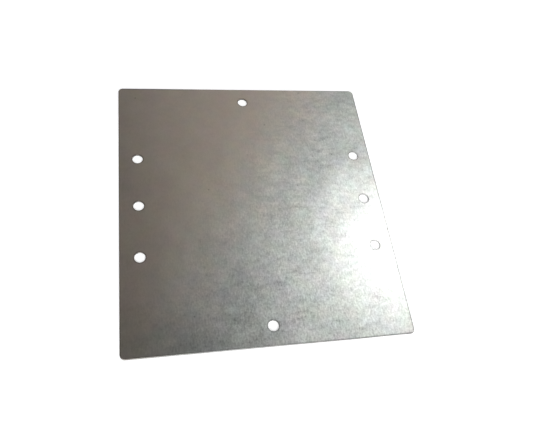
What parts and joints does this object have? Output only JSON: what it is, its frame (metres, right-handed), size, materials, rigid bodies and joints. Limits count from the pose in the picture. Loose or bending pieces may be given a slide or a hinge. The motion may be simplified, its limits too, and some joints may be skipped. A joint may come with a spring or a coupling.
{
  "type": "rectangular cover plate",
  "caption": "Flat rectangular cover plate of zinc-coated sheet steel with rounded corners and screw holes along its sides and in the middle of each end.",
  "frame": {"origin": "centre of the back face, the face that the plate lies on", "axes": "+X across the plate, +Y along its longer side, +Z through the sheet from the back face to the front face"},
  "size_m": [0.232, 0.254, 0.0015],
  "materials": {
    "zinc_coated_steel": "satin zinc coating with a fine grain"
  },
  "bodies": {
    "root": {"cover_plate": "zinc_coated_steel"}
  },
  "joints": []
}
